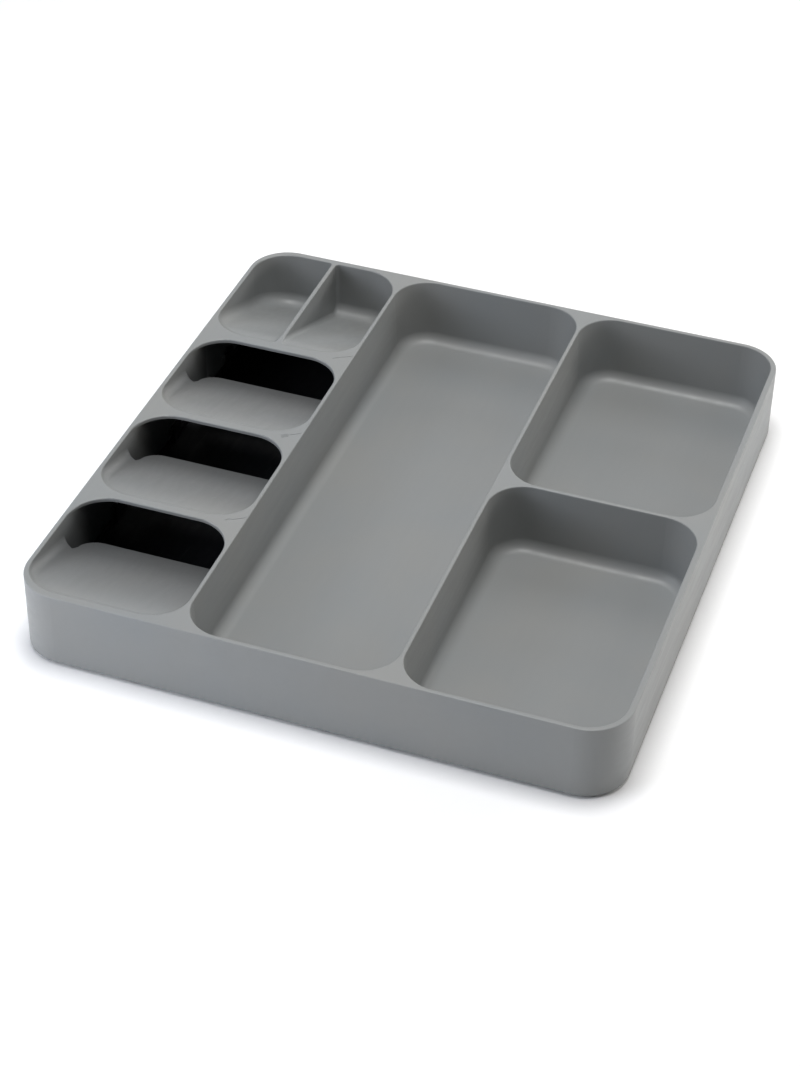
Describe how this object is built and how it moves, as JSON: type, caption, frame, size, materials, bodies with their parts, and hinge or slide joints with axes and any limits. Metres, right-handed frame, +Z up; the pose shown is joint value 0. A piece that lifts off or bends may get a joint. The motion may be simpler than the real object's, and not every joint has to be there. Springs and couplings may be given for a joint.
{
  "type": "drawer organizer insert",
  "caption": "Rigid drawer tray with overlapping sloping cutlery slots, small ramp-floored compartments and open rectangular bins, closed below the slots by a dark clip-in base on rubber feet.",
  "frame": {"origin": "centre of the footprint, on the surface that the feet stand on", "axes": "+X to the right along the front edge, +Y from the front edge to the back, +Z up; the cutlery slots are on the left and open towards the front"},
  "size_m": [0.3702, 0.398, 0.0521],
  "materials": {
    "tray_plastic": "satin mid grey polypropylene with a fine moulded grain",
    "base_plastic": "near black satin polypropylene",
    "foot_rubber": "soft matt dark grey rubber"
  },
  "bodies": {
    "root": {"tray_shell": "tray_plastic", "cutlery_base": "base_plastic", "foot_front_left": "foot_rubber", "foot_back_left": "foot_rubber", "foot_front_middle": "foot_rubber", "foot_back_middle": "foot_rubber", "foot_front_right": "foot_rubber", "foot_back_right": "foot_rubber"}
  },
  "joints": []
}
